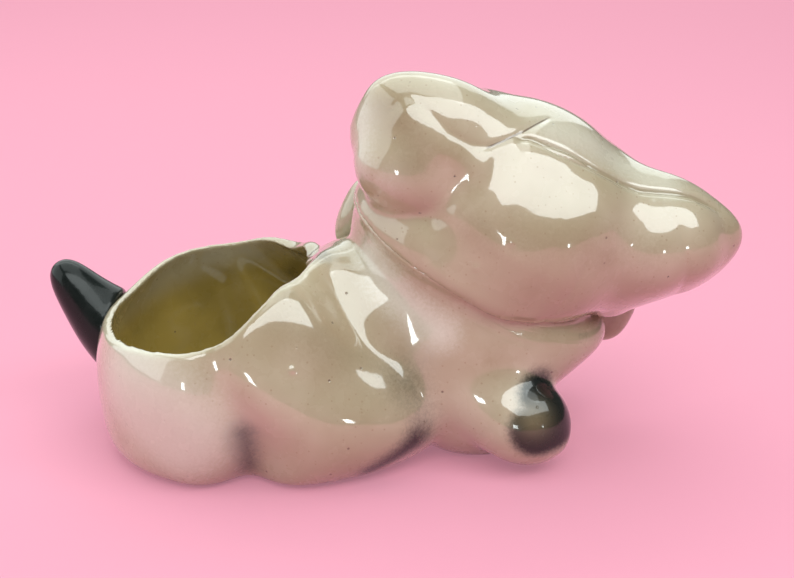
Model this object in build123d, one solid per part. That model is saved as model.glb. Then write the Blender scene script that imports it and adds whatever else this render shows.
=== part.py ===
# Animal planter: a glazed kitten lying along +X with its head turned to +Y.
# The open planting well is in its back.  Millimetres, +Z up, floor at z = 0.
import math
import os

from build123d import *

# Clay walls
wall = 3.2
floor_wall = 4.0
reach_all = 200.0

# Bowl: the hollow rump and belly with the planting well
rump_x = -86.5
bowl_length = 106.5
bowl_width = 93.5
bowl_height = 62.0
bowl_roundness = 2.25
# The wall under the neck slopes, so it is this many times as thick along the bowl
belly_wall_share = 1.6
# The wall thins by this much from the floor to the top
wall_thin_share = 0.45
flank_crease_depth = 8.0
flank_crease_place_share = 0.45
flank_crease_spread_share = 0.075
# The haunch is wider and the belly narrower than an even oval
flank_taper_share = 0.12
# Each level: height, rump end, belly end, width, strength of the flank crease
bowl_level_shares = (
    (0.00, 0.08, 0.86, 0.76, 1.00),
    (0.11, 0.015, 0.97, 0.94, 1.00),
    (0.28, 0.00, 1.00, 1.00, 0.85),
    (0.46, 0.00, 0.89, 1.00, 0.50),
    (0.62, 0.025, 0.76, 0.93, 0.20),
    (0.78, 0.07, 0.655, 0.80, 0.00),
    (1.00, 0.20, 0.565, 0.54, 0.00),
)
# Places along the bowl where its outline is drawn
bowl_place_shares = (0.0, 0.03, 0.11, 0.21, 0.31, 0.39, 0.45, 0.51, 0.59, 0.70, 0.82, 0.92, 0.98, 1.0)

# Trimmed rim of the well, seen from the side: place along the well, height
rim_start_x = -94.0
rim_span = 82.0
rim_height = 54.0
rim_tilt = 3.5
rim_line_shares = (
    (0.00, 0.67),
    (0.13, 0.72),
    (0.27, 0.78),
    (0.46, 0.81),
    (0.56, 0.835),
    (0.66, 0.89),
    (0.78, 0.945),
    (1.00, 0.96),
)

# Withers between the well and the neck
withers_place = (-4.0, 0.0, 40.5)
withers_size = (27.0, 23.5, 21.0)

# Vent from the well into the hollow neck
vent_radius = 3.0
vent_length = 26.0
vent_place = (4.0, 0.0, 26.0)

# Luted seam between neck and head: an oval on a tilted plane
seam_middle = (22.0, 0.0, 57.0)
seam_roll = 26.0
seam_pitch = 14.0
seam_bead = 1.8
bead_lip = 1.2
neck_long = 37.0
neck_deep = 27.0

# Chest and throat: ovals between the floor and the seam
chest_foot_x = 24.0
chest_foot_long = 17.0
chest_foot_deep = 17.5
chest_x = 20.0
chest_z = 14.0
chest_long = 22.0
chest_deep = 28.0
throat_x = 23.0
throat_z = 36.0
throat_long = 36.0
throat_deep = 28.0

# Head
head_middle = (38.0, 3.0, 65.5)
head_roll = 26.0
head_pitch = 14.0
head_yaw = 6.0
skull_wide = 38.0
skull_round = 32.0
skull_shift = -5.0
nape_rise = 20.0
nape_lip = 1.0
# Each slice of the nape: rise, size
nape_slice_shares = ((0.0, 0.985), (0.2, 1.0), (0.5, 0.93), (0.8, 0.74), (1.0, 0.5))

# Face, measured from the middle of the skull
muzzle_place = (6.5, 28.0, -4.5)
muzzle_size = (9.5, 9.0, 7.5)
nose_place = (0.0, 35.5, 1.0)
nose_size = (4.2, 3.2, 3.0)
eye_place = (16.0, 24.0, 9.0)
eye_size = (7.0, 5.0, 7.5)
brow_place = (18.0, 6.0, 19.5)
brow_size = (13.0, 10.0, 9.0)

# Ears, measured from the middle of the head
ear_root = (12.0, -5.0, 2.0)
left_ear_tip = (61.0, -4.0, 16.0)
right_ear_tip = (55.5, -3.0, 23.0)
ear_tall = 24.0
ear_deep = 17.0
left_lobe_place = (40.0, -11.5, 4.5)
left_lobe_size = (16.5, 12.5, 14.0)
ear_cup_share = 0.74
ear_cup_shift = 17.0
# Each slice of an ear: place along it, size
left_ear_slice_shares = ((0.0, 1.0), (0.35, 0.99), (0.6, 0.86), (0.8, 0.64), (0.92, 0.42), (0.98, 0.22))
right_ear_slice_shares = ((0.0, 1.0), (0.35, 0.95), (0.6, 0.77), (0.8, 0.54), (0.92, 0.33), (0.98, 0.17))

# Tail
tail_root = (-72.0, 12.0, 17.0)
tail_bend = (-89.0, 14.0, 32.0)
tail_tip = (-101.0, 14.0, 48.0)
tail_radius = 13.0
# Each slice of the tail: place along it, size
tail_slice_shares = ((0.0, 1.0), (0.3, 0.92), (0.6, 0.70), (0.85, 0.46), (0.96, 0.28))

# Forelegs
shoulder = (13.0, 13.0, 25.0)
paw = (37.5, 24.5, 13.5)
leg_radius = 12.0
leg_end_share = 1.4
# Each slice of a foreleg: place from shoulder to paw, size
leg_slice_shares = (
    (-0.30, 0.80),
    (0.00, 1.15),
    (0.35, 1.17),
    (0.70, 1.09),
    (1.00, 1.03),
    (1.20, 0.82),
    (1.33, 0.48),
    (1.38, 0.24),
)

# Bow at the throat
knot_place = (22.0, 29.0, 49.0)
knot_size = (8.5, 7.0, 8.5)
left_loop_end = (-16.0, 13.0, 66.0)
right_loop_end = (71.0, 12.0, 33.0)
loop_thick = 6.0
loop_tall = 13.0
# Each slice of a loop: place from the knot, thickness, height
loop_slice_shares = (
    (0.0, 0.45, 0.30),
    (0.2, 0.70, 0.50),
    (0.5, 1.00, 0.85),
    (0.8, 0.95, 1.00),
    (0.94, 0.70, 0.80),
    (0.985, 0.35, 0.42),
)

seam_place = Pos(*seam_middle) * Rot(0, seam_roll, 0) * Rot(seam_pitch, 0, 0)
head_place = Pos(*head_middle) * Rot(0, 0, head_yaw) * Rot(0, head_roll, 0) * Rot(head_pitch, 0, 0)
face_place = Pos(skull_shift, 0, 0)


def blob(place, size):
    wide, deep, tall = size
    return Pos(*place) * scale(Sphere(wide), by=(1, deep / wide, tall / wide))


def pair(place, size):
    across, along, up = place
    return blob(place, size) + blob((-across, along, up), size)


def half_space(place):
    return place * Pos(0, 0, -reach_all / 2) * Box(reach_all, reach_all, reach_all)


def bowl_outline(level, inset):
    height_share, rump_share, belly_share, width_share, crease_share = level
    side_inset = inset * (1 - wall_thin_share * height_share)
    start = rump_x + rump_share * bowl_length + side_inset
    end = rump_x + belly_share * bowl_length - belly_wall_share * inset
    half_width = width_share * bowl_width / 2 - side_inset
    near = []
    for share in bowl_place_shares:
        full = 1 - abs(2 * share - 1) ** bowl_roundness
        bend = (share - flank_crease_place_share) / flank_crease_spread_share
        dip = crease_share * flank_crease_depth * math.exp(-bend * bend)
        taper = 1 + flank_taper_share * (flank_crease_place_share - share)
        side = half_width * taper * full ** (1 / bowl_roundness) - dip
        near.append((start + share * (end - start), -side))
    far = [(x, -y) for x, y in reversed(near[1:-1])]
    return near + far


def bowl_solid(inset, lift):
    faces = []
    for level in bowl_level_shares:
        height = max(lift, level[0] * bowl_height)
        outline = Spline(*bowl_outline(level, inset), periodic=True)
        faces.append(Pos(0, 0, height) * make_face(outline))
    return loft(faces)


def rim_cutter():
    line = [(rim_start_x + along * rim_span, up * rim_height) for along, up in rim_line_shares]
    start_x, start_z = line[0]
    end_x, end_z = line[-1]
    top = Polyline((end_x, end_z), (end_x, reach_all), (start_x, reach_all), (start_x, start_z))
    cutter = extrude(Plane.XZ * make_face(Spline(*line) + top), bowl_width, both=True)
    return Pos(0, 0, rim_height) * Rot(rim_tilt, 0, 0) * Pos(0, 0, -rim_height) * cutter


def neck_solid(inset, lift):
    half_roll = seam_roll / 2
    faces = [
        Pos(chest_foot_x, 0, lift) * Ellipse(chest_foot_long - inset, chest_foot_deep - inset),
        Pos(chest_x, 0, chest_z) * Ellipse(chest_long - inset, chest_deep - inset),
        Pos(throat_x, 0, throat_z) * Rot(0, half_roll, 0) * Ellipse(throat_long - inset, throat_deep - inset),
        seam_place * Ellipse(neck_long - inset, neck_deep - inset),
    ]
    return loft(faces)


def build_body(bowl, neck, withers):
    trimmed = bowl - rim_cutter()
    well = bowl_solid(wall, floor_wall)
    neck_hollow = neck_solid(wall, floor_wall) - trimmed
    vent = Pos(*vent_place) * Rot(0, 90, 0) * Cylinder(vent_radius, vent_length)
    return trimmed + neck + withers - well - neck_hollow - vent


def build_seam():
    outer = extrude(seam_place * Ellipse(neck_long + bead_lip, neck_deep + bead_lip), seam_bead)
    inner = extrude(seam_place * Ellipse(neck_long - wall, neck_deep - wall), seam_bead)
    return outer - inner


def nape_solid(inset):
    faces = []
    for rise, size in nape_slice_shares:
        long_half = size * (neck_long + nape_lip) - inset
        deep_half = size * (neck_deep + nape_lip) - inset
        faces.append(seam_place * Pos(0, 0, rise * nape_rise) * Ellipse(long_half, deep_half))
    return loft(faces)


def skull_solid(inset):
    size = (skull_wide - inset, skull_round - inset, skull_round - inset)
    return head_place * face_place * blob((0, 0, 0), size)


def head_solid():
    face = pair(muzzle_place, muzzle_size) + pair(eye_place, eye_size) + pair(brow_place, brow_size)
    face = face + blob(nose_place, nose_size)
    return skull_solid(0) + nape_solid(0) + head_place * face_place * face


def ear_form(tip, slice_shares, share, shift):
    root = Vector(*ear_root) + Vector(0, shift, 0)
    axis = (Vector(*tip) + Vector(0, shift, 0) - root) * share
    plane = Plane(root, (0, 1, 0), axis)
    faces = []
    for place, size in slice_shares:
        slice_share = size * share
        faces.append(plane.offset(place * axis.length) * Ellipse(slice_share * ear_deep, slice_share * ear_tall))
    return loft(faces + [Vertex(root + axis)])


def build_right_ear():
    whole = ear_form(right_ear_tip, right_ear_slice_shares, 1, 0)
    return whole - ear_form(right_ear_tip, right_ear_slice_shares, ear_cup_share, ear_cup_shift)


def build_left_ear():
    whole = ear_form(left_ear_tip, left_ear_slice_shares, 1, 0) + blob(left_lobe_place, left_lobe_size)
    cup = ear_form(left_ear_tip, left_ear_slice_shares, ear_cup_share, ear_cup_shift)
    return mirror(whole - cup, Plane.YZ)


def build_tail():
    path = Spline(Vector(*tail_root), Vector(*tail_bend), Vector(*tail_tip))
    faces = []
    for place, size in tail_slice_shares:
        faces.append(Plane(path @ place, z_dir=path % place) * Circle(size * tail_radius))
    return loft(faces + [Vertex(path @ 1)])


def build_foreleg(side):
    start = Vector(shoulder[0], side * shoulder[1], shoulder[2])
    axis = Vector(paw[0], side * paw[1], paw[2]) - start
    faces = []
    for place, size in leg_slice_shares:
        faces.append(Plane(start + axis * place, z_dir=axis) * Circle(size * leg_radius))
    leg = loft(faces + [Vertex(start + axis * leg_end_share)])
    return leg - half_space(Pos(0, 0, 0))


def build_loop(end):
    start = Vector(*knot_place)
    axis = Vector(*end) - start
    plane = Plane(start, (0, 1, 0), axis)
    faces = []
    for place, thick, tall in loop_slice_shares:
        faces.append(plane.offset(place * axis.length) * Ellipse(thick * loop_thick, tall * loop_tall))
    return loft(faces + [Vertex(start + axis)])


bowl = bowl_solid(0, 0)
neck = neck_solid(0, 0)
withers = blob(withers_place, withers_size)
head_full = head_solid()
under_head = half_space(seam_place * Pos(0, 0, seam_bead))
over_seam = head_full - under_head

nodes = {}
nodes["body_shell"] = build_body(bowl, neck, withers)
nodes["neck_seam"] = build_seam()
nodes["head_shell"] = over_seam - skull_solid(wall) - nape_solid(wall)
nodes["right_ear"] = head_place * build_right_ear() - head_full - under_head
nodes["left_ear"] = head_place * build_left_ear() - head_full - under_head
nodes["tail"] = build_tail() - bowl
nodes["right_foreleg"] = build_foreleg(-1) - bowl - neck - withers
nodes["left_foreleg"] = build_foreleg(1) - bowl - neck - withers
nodes["bow_knot"] = blob(knot_place, knot_size) - neck - nodes["neck_seam"] - over_seam
trim = neck + withers + nodes["neck_seam"] + over_seam + nodes["bow_knot"]
nodes["bow_left_loop"] = build_loop(left_loop_end) - trim - nodes["left_ear"]
nodes["bow_right_loop"] = build_loop(right_loop_end) - trim - nodes["right_ear"]

os.makedirs("parts", exist_ok=True)
for name, shape in nodes.items():
    export_step(shape, "parts/" + name + ".step")
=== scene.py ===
"""Glazed kitten planter: glaze skins over the cast pieces, airbrushed paint, light and camera."""

import math

import bmesh
import bpy
import numpy as np
from mathutils import Euler, Matrix, Vector, noise
from mathutils.bvhtree import BVHTree


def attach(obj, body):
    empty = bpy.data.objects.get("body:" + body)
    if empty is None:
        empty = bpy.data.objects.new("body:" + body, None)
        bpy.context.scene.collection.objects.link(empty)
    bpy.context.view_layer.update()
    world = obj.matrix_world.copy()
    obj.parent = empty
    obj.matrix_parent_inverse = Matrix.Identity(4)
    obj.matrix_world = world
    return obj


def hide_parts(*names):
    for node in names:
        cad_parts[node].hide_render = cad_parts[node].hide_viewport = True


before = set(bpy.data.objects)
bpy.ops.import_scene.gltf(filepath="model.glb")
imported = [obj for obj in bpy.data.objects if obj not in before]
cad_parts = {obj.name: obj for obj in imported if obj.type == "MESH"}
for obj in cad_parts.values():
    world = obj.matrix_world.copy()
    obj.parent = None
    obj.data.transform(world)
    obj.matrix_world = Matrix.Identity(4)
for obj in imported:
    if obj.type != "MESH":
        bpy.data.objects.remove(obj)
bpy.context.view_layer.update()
MM = 0.001

# Photograph frame and camera
PHOTO_WIDE, PHOTO_TALL = 794, 578
FOCAL_PX = 1480.0
CAMERA_AT = Vector((0.0, -0.4014, 0.1921))
CAMERA_DOWN = math.radians(20.15)

# Head frame, as the castings have it
HEAD_MIDDLE = Vector((38.0, 3.0, 65.5)) * MM
HEAD_YAW, HEAD_ROLL, HEAD_PITCH = (math.radians(a) for a in (6.0, 26.0, 14.0))
SKULL_SHIFT = -5.0 * MM

# Luted seam between neck and head
SEAM_MIDDLE = Vector((22.0, 0.0, 57.0)) * MM
SEAM_ROLL, SEAM_PITCH = (math.radians(a) for a in (26.0, 14.0))

# Glaze colours, linear
CREAM = (0.37, 0.305, 0.195)
CREAM_PALE = (0.47, 0.405, 0.29)
CREAM_DEEP = (0.30, 0.24, 0.135)
# Paler cream painted as light: on the lit left of the haunch, a reflection along the neck under the head, and
# highlights on the crown and the left ear
CREAM_LIT = (0.58, 0.55, 0.45)
# Darker cream painted as shade on the shoulder, the left ear and the low back of the head; also the line along the
# dome's crest, thin glaze and painted shade in one
CREAM_SHADE = (0.265, 0.21, 0.12)
OLIVE = (0.255, 0.178, 0.043)
# Airbrushed black of the tail, paws, smudges and face, also painted as shade behind the near foreleg
SMOKE_AND_SHADE = (0.006, 0.009, 0.008)
ROSE = (0.62, 0.22, 0.17)
EYE_WHITE = (0.80, 0.78, 0.70)
IRIS = (0.06, 0.16, 0.10)
BROWN = (0.09, 0.05, 0.03)
FLOOR_ROSE = (0.77, 0.325, 0.43)
FLOOR_SEEN = (0.90, 0.41, 0.53)
LAMP_COLOUR = (0.92, 1.0, 0.99)


def rgba(colour):
    return (*colour, 1.0)


def smooth_step(low, high, value):
    t = np.clip((value - low) / (high - low), 0.0, 1.0)
    return t * t * (3.0 - 2.0 * t)


# Camera


def make_camera():
    data = bpy.data.cameras.new("camera")
    data.sensor_fit = "HORIZONTAL"
    data.sensor_width = 36.0
    data.lens = FOCAL_PX / PHOTO_WIDE * data.sensor_width
    data.clip_start = 0.01
    cam = bpy.data.objects.new("camera", data)
    cam.location = CAMERA_AT
    cam.rotation_euler = (math.pi / 2 - CAMERA_DOWN, 0.0, 0.0)
    bpy.context.scene.collection.objects.link(cam)
    bpy.context.scene.camera = cam
    return cam


def pixel_ray(px, py):
    """Direction from the camera through a pixel of the photograph."""
    across = (px - PHOTO_WIDE / 2) / FOCAL_PX
    up = (PHOTO_TALL / 2 - py) / FOCAL_PX
    turn = Euler((math.pi / 2 - CAMERA_DOWN, 0.0, 0.0)).to_matrix()
    return (turn @ Vector((across, up, -1.0))).normalized()


# Skins: the castings joined under one coat of glaze


def joined_castings(nodes, swell):
    """One mesh of several castings, each swollen a little so that neighbours run together."""
    whole = bmesh.new()
    for node in nodes:
        part = bmesh.new()
        part.from_mesh(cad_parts[node].data)
        bmesh.ops.remove_doubles(part, verts=part.verts, dist=0.002 * MM)
        bmesh.ops.recalc_face_normals(part, faces=part.faces)
        part.normal_update()
        for v in part.verts:
            v.co += v.normal * swell
        mesh = bpy.data.meshes.new("casting")
        part.to_mesh(mesh)
        part.free()
        whole.from_mesh(mesh)
        bpy.data.meshes.remove(mesh)
    mesh = bpy.data.meshes.new("joined")
    whole.to_mesh(mesh)
    whole.free()
    return mesh


def remeshed(mesh, voxel):
    obj = bpy.data.objects.new("remesh", mesh)
    bpy.context.scene.collection.objects.link(obj)
    mod = obj.modifiers.new("voxels", "REMESH")
    mod.mode = "VOXEL"
    mod.voxel_size = voxel
    graph = bpy.context.evaluated_depsgraph_get()
    result = bpy.data.meshes.new_from_object(obj.evaluated_get(graph))
    bpy.data.objects.remove(obj)
    bpy.data.meshes.remove(mesh)
    return result


def points_of(mesh):
    co = np.empty(len(mesh.vertices) * 3)
    mesh.vertices.foreach_get("co", co)
    return co.reshape(-1, 3)


def normals_of(mesh):
    no = np.empty(len(mesh.vertices) * 3)
    mesh.vertices.foreach_get("normal", no)
    return no.reshape(-1, 3)


def put_points(mesh, points):
    mesh.vertices.foreach_set("co", points.ravel())
    mesh.update()


def neighbour_mean(mesh):
    """A function that gives each point the mean of its neighbours' values."""
    ends = np.empty(len(mesh.edges) * 2, dtype=np.int64)
    mesh.edges.foreach_get("vertices", ends)
    a, b = ends.reshape(-1, 2).T
    count = len(mesh.vertices)
    links = np.bincount(a, minlength=count) + np.bincount(b, minlength=count)
    return lambda values: (np.bincount(a, values[b], count) + np.bincount(b, values[a], count)) / links


def relax(mesh, shares):
    """Evens the skin out: in each round the points move towards their neighbours by that round's share."""
    mean_of = neighbour_mean(mesh)
    points = points_of(mesh)
    for share in shares:
        mean = np.column_stack([mean_of(column) for column in points.T])
        points = points + np.reshape(share, (-1, 1)) * (mean - points)
    put_points(mesh, points)


def evened(mesh, values, rounds):
    """A field with its jagged edges averaged away."""
    mean_of = neighbour_mean(mesh)
    for _ in range(rounds):
        values = 0.5 * values + 0.5 * mean_of(values)
    return values


def wobble(points, size, seed):
    """Slow hand-made unevenness, from -1 to 1."""
    shift = Vector((seed * 3.7, seed * 1.9, seed * 5.3))
    return np.array([noise.noise(Vector(p) / size + shift) for p in points])


def skin(name, nodes, voxel, rounds, keep=None, melt=None, uneven=0.3 * MM):
    """Castings under one glaze: keep holds edges, melt runs creases together."""
    mesh = remeshed(joined_castings(nodes, 0.12 * MM), voxel)
    points = points_of(mesh)
    share = np.full(len(points), 0.5)
    if keep is not None:
        share *= 1.0 - keep(points)
    shares = [share] * rounds
    if melt is not None:
        shares += [0.5 * melt(points)] * 240
    relax(mesh, shares + [0.5, -0.53] * 14)
    points = points_of(mesh)
    points = points + normals_of(mesh) * (uneven * wobble(points, 22 * MM, len(name)))[:, None]
    points[:, 2] = np.maximum(points[:, 2], 0.0)
    put_points(mesh, points)
    mesh.shade_smooth()
    obj = bpy.data.objects.new(name, mesh)
    bpy.context.scene.collection.objects.link(obj)
    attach(obj, "root")
    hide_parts(*nodes)
    return obj


# Paint: coverage of airbrushed and brushed colour, and of painted light and shade, kept per point


def near_line(points, line, radius, soft):
    """Coverage from 1 on a line of points to 0 at radius plus soft."""
    best = np.full(len(points), np.inf)
    ends = list(zip(line[:-1], line[1:])) or [(line[0], line[0])]
    for start, end in ends:
        s, e = np.array(start), np.array(end)
        along = e - s
        t = np.clip((points - s) @ along / max(along @ along, 1e-12), 0.0, 1.0)
        best = np.minimum(best, np.linalg.norm(points - s - t[:, None] * along, axis=1))
    return 1.0 - smooth_step(radius - soft, radius + soft, best)


def put_paint(obj, layers):
    """Layers of (colour, coverage), the last on top, into the point attribute that the glaze reads."""
    count = len(obj.data.vertices)
    colour = np.zeros((count, 3))
    cover = np.zeros(count)
    smoke = np.zeros(count)
    for tint, share in layers:
        colour = colour * (1.0 - share[:, None]) + np.array(tint) * share[:, None]
        cover = cover + share * (1.0 - cover)
        if tint is SMOKE_AND_SHADE:
            smoke = np.maximum(smoke, share)
    colour = np.where(cover[:, None] > 1e-4, colour / np.maximum(cover, 1e-4)[:, None], 0.0)
    paint = obj.data.attributes.new("paint", "FLOAT_COLOR", "POINT")
    paint.data.foreach_set("color", np.column_stack([colour, cover]).ravel())
    put_field(obj, "smoke", smoke)


def put_field(obj, name, values):
    layer = obj.data.attributes.new(name, "FLOAT", "POINT")
    layer.data.foreach_set("value", np.broadcast_to(values, len(obj.data.vertices)).astype(np.float32))


def surface_tree(obj):
    bm = bmesh.new()
    bm.from_mesh(obj.data)
    tree = BVHTree.FromBMesh(bm)
    bm.free()
    return tree


def touch(tree, *pixels):
    """Points where the photograph's pixels meet a skin."""
    found = []
    for px, py in pixels:
        spot = tree.ray_cast(CAMERA_AT, pixel_ray(px, py))[0]
        if spot is not None:
            found.append(tuple(spot))
    return found


# Marks pressed into or standing on the skin


def across_line(points, normals, line, reach):
    """Distance across a line of points on the skin, signed, and coverage that fades past its ends and reach."""
    best = np.full(len(points), np.inf)
    signed = np.full(len(points), 1.0)
    cover = np.zeros(len(points))
    total = len(line) - 1
    for k, (start, end) in enumerate(zip(line[:-1], line[1:])):
        s, e = np.array(start), np.array(end)
        along = e - s
        raw = (points - s) @ along / (along @ along)
        gap = points - s - np.clip(raw, 0.0, 1.0)[:, None] * along
        far = np.linalg.norm(gap, axis=1)
        side = np.cross(along / np.linalg.norm(along), normals)
        place = (k + raw) / total
        nearer = far < best
        best = np.where(nearer, far, best)
        signed = np.where(nearer, (gap * side).sum(1), signed)
        fade = smooth_step(0.0, 0.12, place) * (1.0 - smooth_step(0.88, 1.0, place))
        cover = np.where(nearer, fade, cover)
    return signed, cover * (1.0 - smooth_step(0.7 * reach, reach, best))


def press(obj, depth):
    """Moves the skin inwards by a depth for each point."""
    points = points_of(obj.data) - normals_of(obj.data) * depth[:, None]
    put_points(obj.data, points)


def bumps(points, spots, radius):
    """Small round rises at the spots, from 0 to 1."""
    rise = np.zeros(len(points))
    for spot in spots:
        far = np.linalg.norm(points - np.array(spot), axis=1)
        rise = np.maximum(rise, np.exp(-((far / radius) ** 2)))
    return rise


def nearest(points, spots):
    return np.min([np.linalg.norm(points - np.array(s), axis=1) for s in spots], axis=0)


# Glaze material


def glaze(name, tones, specks=1.0, coat=1.74, well=False, face=False):
    """Fired cream glaze with specks, airbrushed paint, painted light and shade and, where asked for, the well's or the
    face's fields.
    """
    base, pale, deep = tones
    mat = bpy.data.materials.new(name)
    mat.use_nodes = True
    nodes, links = mat.node_tree.nodes, mat.node_tree.links
    shader = nodes["Principled BSDF"]

    def node(kind, **settings):
        n = nodes.new(kind)
        for key, value in settings.items():
            setattr(n, key, value)
        return n

    def join(a, b):
        links.new(a, b)

    where = node("ShaderNodeTexCoord").outputs["Object"]

    def cloud(scale, detail, rough=0.55):
        n = node("ShaderNodeTexNoise")
        n.inputs["Scale"].default_value = scale
        n.inputs["Detail"].default_value = detail
        n.inputs["Roughness"].default_value = rough
        join(where, n.inputs["Vector"])
        return n.outputs["Fac"]

    def ramp(value, low, high, first=0.0, last=1.0):
        n = node("ShaderNodeMapRange", interpolation_type="SMOOTHSTEP")
        n.inputs["From Min"].default_value = low
        n.inputs["From Max"].default_value = high
        n.inputs["To Min"].default_value = first
        n.inputs["To Max"].default_value = last
        join(value, n.inputs["Value"])
        return n.outputs["Result"]

    def mix(share, a, b):
        n = node("ShaderNodeMix", data_type="RGBA")
        join(share, n.inputs["Factor"])
        for socket, value in ((n.inputs[6], a), (n.inputs[7], b)):
            if isinstance(value, tuple):
                socket.default_value = rgba(value)
            else:
                join(value, socket)
        return n.outputs[2]

    def math_node(operation, a, b=None):
        n = node("ShaderNodeMath", operation=operation)
        join(a, n.inputs[0])
        if isinstance(b, float):
            n.inputs[1].default_value = b
        elif b is not None:
            join(b, n.inputs[1])
        return n.outputs[0]

    def field(name):
        return node("ShaderNodeAttribute", attribute_name=name).outputs["Fac"]

    def filled(colour, name, edge, soft, tint, strength=1.0):
        return mix(ramp(field(name), edge - soft, edge + soft, strength, 0.0), colour, tint)

    def lined(colour, name, half, tint, strength):
        across = ramp(math_node("ABSOLUTE", field(name)), 0.5 * half, 1.5 * half, strength, 0.0)
        return mix(math_node("MULTIPLY", across, field(name + "_cover")), colour, tint)

    def sown(scale, small, large, chance):
        """Scattered round dots, each cell by chance."""
        cells = node("ShaderNodeTexVoronoi")
        cells.inputs["Scale"].default_value = scale
        join(where, cells.inputs["Vector"])
        pick = node("ShaderNodeSeparateColor")
        join(cells.outputs["Color"], pick.inputs["Color"])
        dot = ramp(cells.outputs["Distance"], small, large, 1.0, 0.0)
        return math_node("MULTIPLY", dot, ramp(pick.outputs[0], chance, chance + 0.05))

    # Thick and thin glaze: paler pools and deeper thin patches
    colour = mix(ramp(cloud(26.0, 3.0), 0.35, 0.70), base, pale)
    colour = mix(ramp(cloud(60.0, 4.0), 0.54, 0.80, 0.0, 0.6), colour, deep)

    if well:
        lining = mix(ramp(cloud(45.0, 4.0), 0.3, 0.7), OLIVE, tuple(1.4 * c for c in OLIVE))
        colour = mix(field("inside"), colour, lining)

    # Iron specks burnt through the glaze, and fine dust in it
    speck = sown(230.0, 0.05, 0.11, 0.70)
    colour = mix(math_node("MULTIPLY", speck, 0.7 * specks), colour, BROWN)
    dust = sown(640.0, 0.10, 0.24, 0.72)
    colour = mix(math_node("MULTIPLY", dust, 0.45 * specks), colour, (0.25, 0.16, 0.08))

    # Airbrushed colour, and painted light and shade, under the glaze, with a grainy edge
    paint = node("ShaderNodeAttribute", attribute_name="paint")
    grain = ramp(cloud(1100.0, 2.0, 0.7), 0.25, 0.75, -0.06, 0.06)
    colour = mix(ramp(math_node("ADD", paint.outputs["Alpha"], grain), 0.11, 0.89), colour, paint.outputs["Color"])

    height = cloud(150.0, 2.0)
    if face:
        # A darker line along the dome's crest: thin glaze, and painted shade in the trough under its ledge
        colour = lined(colour, "ridge", 0.5 * MM, CREAM_SHADE, 0.55)
        colour = lined(colour, "crease", 0.28 * MM, BROWN, 0.75)
        colour = filled(colour, "pit", 0.42 * MM, 0.12 * MM, SMOKE_AND_SHADE, 0.9)
        colour = filled(colour, "nose", 1.0, 0.04, ROSE)
        colour = filled(colour, "eye", 1.0, 0.03, EYE_WHITE)
        colour = filled(colour, "iris", 1.0, 0.05, IRIS)
        colour = filled(colour, "pupil", 1.0, 0.05, SMOKE_AND_SHADE)
        colour = filled(colour, "glint", 1.0, 0.08, EYE_WHITE)
        colour = lined(colour, "lid", 0.06, BROWN, 0.95)
        colour = lined(colour, "mouth", 0.42 * MM, BROWN, 0.85)
    join(colour, shader.inputs["Base Color"])

    # Glassy coat over a softer body, thinner on the smoke; the wiped foot stays raw clay
    gloss = ramp(cloud(140.0, 3.0), 0.3, 0.7, 0.20, 0.32)
    coated = ramp(field("smoke"), 0.3, 0.95, 1.0, 0.45)
    shader.inputs["IOR"].default_value = 1.5
    shader.inputs["Specular IOR Level"].default_value = 0.2
    shader.inputs["Coat IOR"].default_value = coat
    shader.inputs["Coat Roughness"].default_value = 0.05
    if well:
        foot = field("foot")
        raw = mix(foot, colour, (0.66, 0.60, 0.50))
        join(raw, shader.inputs["Base Color"])
        join(math_node("MAXIMUM", gloss, ramp(foot, 0.2, 0.8, 0.0, 0.85)), shader.inputs["Roughness"])
        join(math_node("MULTIPLY", coated, ramp(foot, 0.2, 0.8, 1.0, 0.0)), shader.inputs["Coat Weight"])
        streak = ramp(field("streak"), -0.4, 0.4)
        height = math_node("ADD", height, math_node("MULTIPLY", streak, field("streak_cover")))
    else:
        join(gloss, shader.inputs["Roughness"])
        join(coated, shader.inputs["Coat Weight"])

    # Faint ripple of the fired glaze, and pinholes at the specks
    ripple = node("ShaderNodeBump")
    ripple.inputs["Strength"].default_value = 0.12
    ripple.inputs["Distance"].default_value = 0.4 * MM
    join(height, ripple.inputs["Height"])
    pit = node("ShaderNodeBump", invert=True)
    pit.inputs["Strength"].default_value = 0.5
    pit.inputs["Distance"].default_value = 0.2 * MM
    join(speck, pit.inputs["Height"])
    join(ripple.outputs["Normal"], pit.inputs["Normal"])
    join(pit.outputs["Normal"], shader.inputs["Normal"])
    join(pit.outputs["Normal"], shader.inputs["Coat Normal"])
    return mat


def dress(obj, material):
    obj.data.materials.clear()
    obj.data.materials.append(material)


# Body: bowl, forelegs and luted seam under one glaze

camera = make_camera()

WELL_MIDDLE = np.array((-45.0, 0.0, 34.0)) * MM

# The near rim, pulled up towards the withers, and the far rim, lowered: middle, radius and rise, in millimetres
RIM_PULLS = (
    ((-31.0, -29.0, 49.0), 14.0, (0.0, -1.0, 7.0)),
    ((-22.0, -15.0, 54.0), 10.0, (0.0, 0.0, 6.0)),
    ((-76.0, 16.0, 45.0), 13.0, (0.0, 0.0, -2.8)),
    ((-36.0, 22.0, 54.0), 9.0, (0.0, 0.0, -3.2)),
    ((-26.0, 14.0, 53.0), 8.0, (0.0, 0.0, 1.8)),
)

# The full shoulder below the withers, in pixels of the photograph
FULL_SHOULDER = ((318, 332), (345, 340), (370, 350), (392, 362))

# Height of the rim at the back and towards the neck, as x and z
RIM_BACK, RIM_FRONT = (-86 * MM, 34 * MM), (-22 * MM, 53 * MM)


def rim_keep(points):
    """Keeps the thin rim of the well from being worn away."""
    x, y, z = points.T
    return 0.65 * smooth_step(28 * MM, 34 * MM, z) * (1.0 - smooth_step(-26 * MM, -16 * MM, x))


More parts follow.
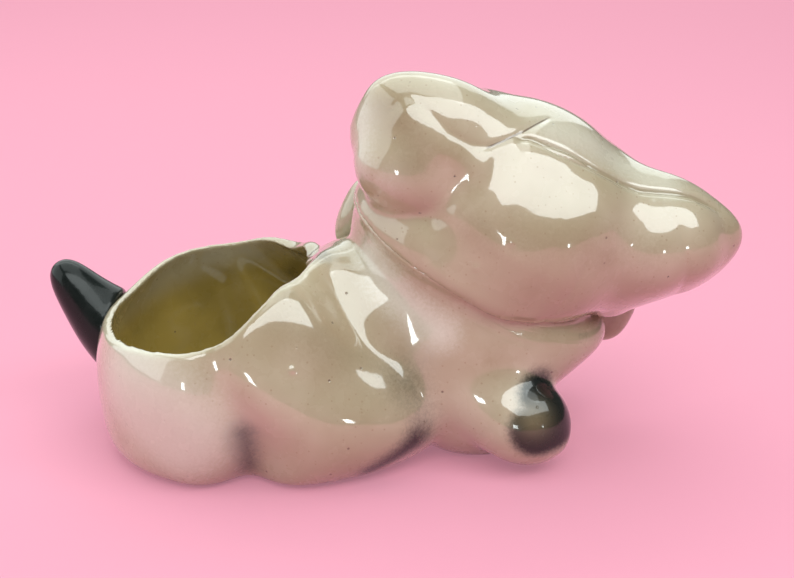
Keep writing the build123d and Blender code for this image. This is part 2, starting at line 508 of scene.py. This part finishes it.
def seam_normal():
    turn = Matrix.Rotation(SEAM_ROLL, 3, "Y") @ Matrix.Rotation(SEAM_PITCH, 3, "X")
    return np.array(turn @ Vector((0, 0, 1)))


def above_seam(points):
    """Height over the plane of the luted seam."""
    return (points - np.array(SEAM_MIDDLE)) @ seam_normal()


def bead_keep(points):
    """Keeps the bead of the luted seam."""
    return 0.6 * smooth_step(-1.5 * MM, -0.3 * MM, above_seam(points))


def lip_keep(points):
    """Keeps the lower edge of the head on the bead."""
    return 0.95 * (1.0 - smooth_step(2.5 * MM, 5.0 * MM, above_seam(points)))


def ear_keep(points):
    """Keeps the tips of the ears from being worn round."""
    return 0.85 * smooth_step(46.0, 54.0, face_places(points)[:, 0])


def joint_melt(points):
    """Where the withers and the near and far forelegs run into the body."""
    withers = near_line(points, [(-18 * MM, -18 * MM, 48 * MM), (7 * MM, -26 * MM, 25 * MM)], 11 * MM, 6 * MM)
    leg = near_line(points, [(12 * MM, -26 * MM, 24 * MM), (28 * MM, -29 * MM, 25 * MM)], 8 * MM, 6 * MM)
    return np.maximum(withers, leg)


def far_joint_melt(points):
    """The same on the far side, clear of the rim's end."""
    return joint_melt(points * (1.0, -1.0, 1.0)) * smooth_step(-20 * MM, -8 * MM, points[:, 0])


def make_body():
    nodes = ("body_shell", "right_foreleg", "left_foreleg", "neck_seam")
    body = skin("glazed_body", nodes, 0.62 * MM, 36,
                keep=lambda p: np.maximum(rim_keep(p), bead_keep(p)),
                melt=lambda p: np.maximum(joint_melt(p), far_joint_melt(p)))
    points = points_of(body.data)
    for middle, radius, rise in RIM_PULLS:
        lift = bumps(points, [np.array(middle) * MM], radius * MM)
        points = points + lift[:, None] * np.array(rise) * MM
    put_points(body.data, points)
    shoulder = touch(surface_tree(body), *FULL_SHOULDER)
    press(body, -2.6 * MM * near_line(points, shoulder, 9 * MM, 9 * MM))
    relax(body.data, [0.5 * near_line(points, shoulder, 14 * MM, 8 * MM)] * 60)
    tree = surface_tree(body)
    points = points_of(body.data)
    press(body, -0.5 * MM * bumps(points, touch(tree, (292, 370)), 0.9 * MM))
    points, normals = points_of(body.data), normals_of(body.data)
    x, y, z = points.T

    to_well = WELL_MIDDLE - points
    facing = (to_well * normals).sum(1) / np.linalg.norm(to_well, axis=1)
    front = -19 * MM + 1.22 * (48 * MM - z)
    in_bowl = (1.0 - smooth_step(0.0, 3 * MM, x - front)) * smooth_step(2.5 * MM, 4 * MM, z)
    rim = np.interp(x, *zip(RIM_BACK, RIM_FRONT))
    lined = 0.15 + 0.85 * smooth_step(0.0, 11 * MM, rim - z)
    put_field(body, "inside", evened(body.data, smooth_step(0.05, 0.45, facing) * in_bowl * lined, 8))
    put_field(body, "foot", smooth_step(0.85, 0.95, -normals[:, 2]) * (1.0 - smooth_step(0.4 * MM, 1.0 * MM, z)))

    below = -above_seam(points)
    put_field(body, "streak", np.sin(below / (0.42 * MM) + 2.0 * wobble(points, 14 * MM, 3)))
    put_field(body, "streak_cover", 0.8 * smooth_step(-1 * MM, 0.5 * MM, below) * (1 - smooth_step(3 * MM, 7 * MM, below)))

    layers = []
    for tint, pixels, radius, soft, strength in (
        # Painted light on the left of the haunch, where the light falls
        (CREAM_LIT, ((128, 385), (180, 440)), 16 * MM, 14 * MM, 0.80),
        # Painted reflection along the neck under the head
        (CREAM_LIT, ((372, 255), (400, 300), (440, 332)), 6 * MM, 7 * MM, 0.75),
        # Painted shade across the shoulder
        (CREAM_SHADE, ((285, 320), (330, 345), (385, 372)), 9 * MM, 9 * MM, 0.42),
    ):
        layers.append((tint, strength * near_line(points, touch(tree, *pixels), radius, soft)))
    for pixels, radius, soft, strength in (
        (((244, 434), (249, 466)), 3.6 * MM, 5.0 * MM, 0.62),
        (((372, 470), (390, 460), (414, 442)), 4.2 * MM, 6.0 * MM, 0.85),
        (((290, 272), (322, 256)), 4.0 * MM, 5.0 * MM, 0.52),
        # Painted shade behind the near foreleg, where it meets the belly
        (((410, 382), (424, 410), (428, 435)), 6.0 * MM, 8.0 * MM, 0.36),
        (((580, 336), (588, 335)), 1.6 * MM, 2.0 * MM, 0.30),
    ):
        layers.append((SMOKE_AND_SHADE, strength * near_line(points, touch(tree, *pixels), radius, soft)))
    near_paw = np.array(touch(tree, (546, 397), (560, 422), (538, 432)))
    for paw in (near_paw, near_paw * (1.0, -1.0, 1.0)):
        layers.append((SMOKE_AND_SHADE, 0.97 * near_line(points, paw, 8.0 * MM, 3.8 * MM)))
    # Painted reflection: a greyer middle on the near paw's black
    light_and_shade_patch = bumps(points, touch(tree, (534, 420)), 5.0 * MM)
    layers.append((CREAM_DEEP, 0.45 * light_and_shade_patch))
    put_paint(body, layers)
    dress(body, glaze("cream_glaze", (CREAM, CREAM_PALE, CREAM_DEEP), well=True))


# Head and ears, with the painted face


def face_places(points):
    """Points measured from the middle of the skull: across, towards the face, up."""
    turn = (Matrix.Rotation(HEAD_YAW, 3, "Z") @ Matrix.Rotation(HEAD_ROLL, 3, "Y")
            @ Matrix.Rotation(HEAD_PITCH, 3, "X"))
    local = (points - np.array(HEAD_MIDDLE)) @ np.array(turn)
    local[:, 0] -= SKULL_SHIFT
    return local / MM


def head_melt(points):
    """Where the ears and the nape run into the skull, apart from the lobe under the left ear."""
    across, ahead, up = face_places(points).T
    behind = 1.0 - smooth_step(8.0, 16.0, ahead)
    right = np.exp(-(((across - 21.0) / 9.0) ** 2))
    left = np.exp(-(((across + 21.0) / 7.0) ** 2)) * smooth_step(6.0, 14.0, up)
    over = above_seam(points)
    nape = smooth_step(3.5 * MM, 6 * MM, over) * (1.0 - smooth_step(13 * MM, 18 * MM, over))
    nape *= smooth_step(-26.0, -18.0, across)
    lobe = np.exp(-(((up - 12.0) / 6.0) ** 2)) * (1.0 - smooth_step(-30.0, -22.0, across))
    return behind * np.max([right, left, nape, lobe], axis=0)


def oval(across, up, middle, half):
    return np.hypot((across - middle[0]) / half[0], (up - middle[1]) / half[1])


def paint_face(head, points):
    across, ahead, up = face_places(points).T
    side = np.abs(across)
    hidden = np.where(ahead > 14.0, 0.0, 9.0)
    eye = oval(side, up, (15.6, 8.6), (5.4, 5.8))
    put_field(head, "eye", eye + hidden)
    put_field(head, "iris", oval(side, up, (15.0, 8.2), (4.3, 4.9)) + hidden)
    put_field(head, "pupil", oval(side, up, (14.6, 8.2), (2.6, 4.0)) + hidden)
    put_field(head, "glint", oval(across, up, (-13.4, 10.6), (1.1, 1.3)) * 1.0 + hidden)
    put_field(head, "lid", eye - 1.05 + hidden)
    put_field(head, "lid_cover", smooth_step(5.0, 9.0, up))
    put_field(head, "nose", np.sqrt((across / 4.7) ** 2 + ((ahead - 35.5) / 3.8) ** 2 + ((up - 1.0) / 3.3) ** 2))
    smile = -9.5 + 0.075 * (side - 6.0) ** 2
    stem = np.where(up > -6.4, side * MM, 9.0)
    curve = np.where(side < 11.0, (up - smile) * MM, 9.0)
    put_field(head, "mouth", np.where(np.abs(curve) < np.abs(stem), curve, stem) + hidden)
    put_field(head, "mouth_cover", smooth_step(-12.0, -10.0, up) * (1.0 - smooth_step(-2.5, -1.0, up)))


# Lines on the head, in pixels of the photograph: the crests of the ears and dome, and the crack on the crown
EAR_CREST = ((406, 92), (428, 112), (450, 133), (474, 146), (496, 148))
DOME_CREST = ((512, 139), (530, 139), (556, 150), (600, 172), (640, 191), (690, 197), (726, 215))
CROWN_LINE = ((484, 149), (503, 141), (524, 131), (553, 116))


def make_head():
    head = skin("glazed_head", ("head_shell", "left_ear", "right_ear"), 0.7 * MM, 26,
                keep=lambda p: np.maximum(lip_keep(p), ear_keep(p)), melt=head_melt, uneven=0.15 * MM)
    tree = surface_tree(head)
    points, normals = points_of(head.data), normals_of(head.data)
    low_back = bumps(points, touch(tree, (525, 278), (550, 284), (575, 290)), 15 * MM)
    flat_back = near_line(points, touch(tree, (566, 172), (616, 194)), 10 * MM, 10 * MM)
    low_dome = bumps(points, touch(tree, (580, 234)), 12 * MM)
    flat_ear = near_line(points, touch(tree, (652, 206), (714, 219)), 7 * MM, 7 * MM)
    full_ear = bumps(points, touch(tree, (656, 268), (698, 253)), 12 * MM)
    saddle = near_line(points, touch(tree, (613, 207), (640, 224), (676, 242)), 9 * MM, 9 * MM)
    press(head, 2.0 * MM * flat_back + 1.3 * MM * flat_ear - 2.8 * MM * saddle)
    press(head, -3.6 * MM * low_back - 1.6 * MM * low_dome - 4.0 * MM * full_ear)
    for pixels, deep, high in ((EAR_CREST, 0.3 * MM, 0.8 * MM), (DOME_CREST, 0.9 * MM, 0.45 * MM)):
        points, normals = points_of(head.data), normals_of(head.data)
        signed, cover = across_line(points, normals, touch(surface_tree(head), *pixels), 14 * MM)
        trough = np.exp(-((signed / (1.2 * MM)) ** 2))
        lip = np.exp(-(((signed - 4.5 * MM) / (4.0 * MM)) ** 2))
        press(head, (deep * trough - high * lip) * cover)
    ridge, ridge_cover = across_line(points, normals, touch(surface_tree(head), *DOME_CREST), 3 * MM)
    put_field(head, "ridge", ridge)
    put_field(head, "ridge_cover", ridge_cover)

    points, normals = points_of(head.data), normals_of(head.data)
    sunk = 0.7 * MM * (1.0 - smooth_step(2.2 * MM, 4.5 * MM, above_seam(points)))
    put_points(head.data, points - sunk[:, None] * seam_normal())
    points = points_of(head.data)
    tree = surface_tree(head)
    signed, cover = across_line(points, normals, touch(tree, *CROWN_LINE), 3 * MM)
    rises = bumps(points, touch(tree, (512, 242), (476, 268)), 0.8 * MM)
    press(head, 0.35 * MM * np.exp(-((signed / (0.9 * MM)) ** 2)) * cover - 0.3 * MM * rises)
    put_field(head, "crease", signed)
    put_field(head, "crease_cover", cover)
    put_field(head, "pit", nearest(points, touch(tree, (517, 109), (668, 277), (420, 213), (455, 176))))
    paint_face(head, points)

    across, ahead, up = face_places(points).T
    local = np.column_stack([np.abs(across), ahead, up])
    facing = normals @ np.array(Matrix.Rotation(HEAD_YAW, 3, "Z") @ Vector((0, 1, 0)))
    cup = near_line(local, [(30.0, 8.0, 10.0), (50.0, 6.0, 16.0)], 8.0, 5.0) * smooth_step(0.1, 0.5, facing)
    cheek = near_line(local, [(24.0, 22.0, -4.0)], 5.0, 5.0)
    # Painted shade down the back of the left ear
    light_and_shade_patch = near_line(points, touch(tree, (396, 105), (416, 160)), 6 * MM, 6 * MM)
    # Painted shade low on the back of the head
    nape = near_line(points, touch(tree, (480, 230), (560, 246), (650, 250)), 8 * MM, 8 * MM)
    # Painted highlights on the crown, the outer edge of the left ear and the lobe under it
    crown = near_line(points, touch(tree, (556, 130), (610, 156), (662, 182)), 8 * MM, 8 * MM)
    edge = near_line(points, touch(tree, (364, 115), (360, 165)), 5 * MM, 6 * MM)
    lobe = near_line(points, touch(tree, (384, 182)), 6 * MM, 7 * MM)
    painted_highlight = np.max([crown, edge, 0.7 * lobe], axis=0)
    put_paint(head, [(CREAM_LIT, 0.6 * painted_highlight), (CREAM_SHADE, 0.5 * light_and_shade_patch), (CREAM_SHADE, 0.38 * nape),
                     (ROSE, 0.45 * cup), (ROSE, 0.22 * cheek)])
    dress(head, glaze("face_glaze", (CREAM, CREAM_PALE, CREAM_DEEP), face=True))


# Tail: black, thinning to smoke where it joins


def make_tail():
    tail = skin("glazed_tail", ("tail",), 0.6 * MM, 8, uneven=0.2 * MM)
    across = points_of(tail.data)[:, 0]
    put_paint(tail, [(SMOKE_AND_SHADE, 0.82 + 0.18 * (1.0 - smooth_step(-90 * MM, -80 * MM, across)))])
    dress(tail, glaze("black_glaze", (CREAM, CREAM_PALE, CREAM_DEEP), specks=0.5, coat=1.3))


# Bow: two pleated loops and a knot

KNOT = np.array((22.0, 29.0, 49.0)) * MM
LOOP_ENDS = (np.array((-16.0, 13.0, 66.0)) * MM, np.array((71.0, 12.0, 33.0)) * MM)
LOOP_TALL = 13.0 * MM


def make_bow():
    bow = skin("glazed_bow", ("bow_knot", "bow_left_loop", "bow_right_loop"), 0.6 * MM, 10, uneven=0.2 * MM)
    points, normals = points_of(bow.data), normals_of(bow.data)
    front = smooth_step(0.1, 0.6, normals[:, 1])
    depth = np.zeros(len(points))
    for end in LOOP_ENDS:
        axis = end - KNOT
        tall = np.cross(axis, (0.0, 1.0, 0.0))
        tall /= np.linalg.norm(tall)
        along = (points - KNOT) @ axis / (axis @ axis)
        rise = (points - KNOT) @ tall / LOOP_TALL
        fold = 0.5 + 0.5 * np.cos(5.0 * math.pi * rise / (0.35 + 0.65 * np.clip(along, 0.0, 1.0)))
        depth += 0.9 * MM * fold * smooth_step(0.12, 0.3, along) * (1.0 - smooth_step(0.45, 0.8, along))
        hollow = np.exp(-((rise / 0.42) ** 2)) * smooth_step(0.30, 0.55, along) * (1.0 - smooth_step(0.88, 1.0, along))
        depth += 2.6 * MM * hollow * front
    press(bow, depth)
    put_paint(bow, [])
    dress(bow, glaze("bow_glaze", (CREAM_PALE, CREAM, CREAM_DEEP)))


make_body()
make_head()
make_tail()
make_bow()

# Floor, light and world


def make_floor():
    mesh = bpy.data.meshes.new("floor")
    half = 4.0
    mesh.from_pydata([(-half, -half, 0), (half, -half, 0), (half, half, 0), (-half, half, 0)], [], [(0, 1, 2, 3)])
    floor = bpy.data.objects.new("floor", mesh)
    bpy.context.scene.collection.objects.link(floor)
    floor.data.materials.append(floor_paper())


def seen_rays(tree):
    """1 for rays that show the background: from the camera, in a gloss or through glass."""
    path = tree.nodes.new("ShaderNodeLightPath")
    seen = path.outputs["Is Camera Ray"]
    for output in ("Is Glossy Ray", "Is Transmission Ray"):
        either = tree.nodes.new("ShaderNodeMath")
        either.operation = "MAXIMUM"
        tree.links.new(seen, either.inputs[0])
        tree.links.new(path.outputs[output], either.inputs[1])
        seen = either.outputs[0]
    return seen


def floor_paper():
    mat = bpy.data.materials.new("floor_paper")
    mat.use_nodes = True
    tree = mat.node_tree
    shader = tree.nodes["Principled BSDF"]
    shader.inputs["Base Color"].default_value = rgba(FLOOR_ROSE)
    shader.inputs["Roughness"].default_value = 0.9
    shader.inputs["Specular IOR Level"].default_value = 0.1
    glow = tree.nodes.new("ShaderNodeEmission")
    glow.inputs["Color"].default_value = rgba(FLOOR_SEEN)
    where = tree.nodes.new("ShaderNodeTexCoord")
    far = tree.nodes.new("ShaderNodeVectorMath")
    far.operation = "LENGTH"
    tree.links.new(where.outputs["Object"], far.inputs[0])
    even = tree.nodes.new("ShaderNodeMapRange")
    even.interpolation_type = "SMOOTHSTEP"
    even.inputs["From Min"].default_value = 0.25
    even.inputs["From Max"].default_value = 1.3
    even.inputs["To Min"].default_value = 0.35
    even.inputs["To Max"].default_value = 1.0
    tree.links.new(far.outputs["Value"], even.inputs["Value"])
    share = tree.nodes.new("ShaderNodeMath")
    share.operation = "MULTIPLY"
    tree.links.new(even.outputs["Result"], share.inputs[1])
    blend = tree.nodes.new("ShaderNodeMixShader")
    tree.links.new(seen_rays(tree), share.inputs[0])
    tree.links.new(share.outputs[0], blend.inputs[0])
    tree.links.new(shader.outputs["BSDF"], blend.inputs[1])
    tree.links.new(glow.outputs["Emission"], blend.inputs[2])
    tree.links.new(blend.outputs["Shader"], tree.nodes["Material Output"].inputs["Surface"])
    return mat


def area_light(name, turn, rise, far, wide, tall, watts):
    """A panel facing the part: turn to the right of the camera's side and rise, in degrees, and distance."""
    turn, rise = math.radians(turn), math.radians(rise)
    away = Vector((math.sin(turn) * math.cos(rise), -math.cos(turn) * math.cos(rise), math.sin(rise)))
    data = bpy.data.lights.new(name, "AREA")
    data.shape = "RECTANGLE"
    data.size, data.size_y = wide, tall
    data.energy = watts
    data.color = LAMP_COLOUR
    lamp = bpy.data.objects.new(name, data)
    lamp.location = Vector((0.0, 0.0, 0.05)) + far * away
    lamp.rotation_euler = (-away).to_track_quat("-Z", "Y").to_euler()
    lamp.visible_camera = False
    bpy.context.scene.collection.objects.link(lamp)


def make_world():
    """Dim fill for the part, and the floor's colour where the background is seen."""
    world = bpy.data.worlds.new("studio")
    bpy.context.scene.world = world
    world.use_nodes = True
    tree = world.node_tree
    fill = tree.nodes["Background"]
    fill.inputs["Color"].default_value = (1.0, 0.95, 0.93, 1.0)
    fill.inputs["Strength"].default_value = 0.10
    shown = tree.nodes.new("ShaderNodeBackground")
    shown.inputs["Color"].default_value = rgba(FLOOR_SEEN)
    shown.inputs["Strength"].default_value = 0.9
    path = tree.nodes.new("ShaderNodeLightPath")
    blend = tree.nodes.new("ShaderNodeMixShader")
    tree.links.new(path.outputs["Is Camera Ray"], blend.inputs[0])
    tree.links.new(fill.outputs["Background"], blend.inputs[1])
    tree.links.new(shown.outputs["Background"], blend.inputs[2])
    tree.links.new(blend.outputs["Shader"], tree.nodes["World Output"].inputs["Surface"])


make_floor()
make_world()
area_light("overhead", 12.0, 98.0, 1.05, 1.2, 1.4, 10.0)
area_light("softbox", 30.0, 50.0, 1.05, 1.5, 0.46, 10.0)
area_light("window", -16.0, 5.0, 1.0, 0.09, 0.15, 0.6)
area_light("side_window", 38.0, 4.0, 1.0, 0.05, 0.09, 0.2)
area_light("left_panel", -85.0, 26.0, 1.2, 1.9, 1.1, 10.0)
area_light("back_panel", 190.0, 34.0, 1.2, 1.9, 1.1, 9.0)
bpy.context.scene.view_settings.view_transform = "Standard"
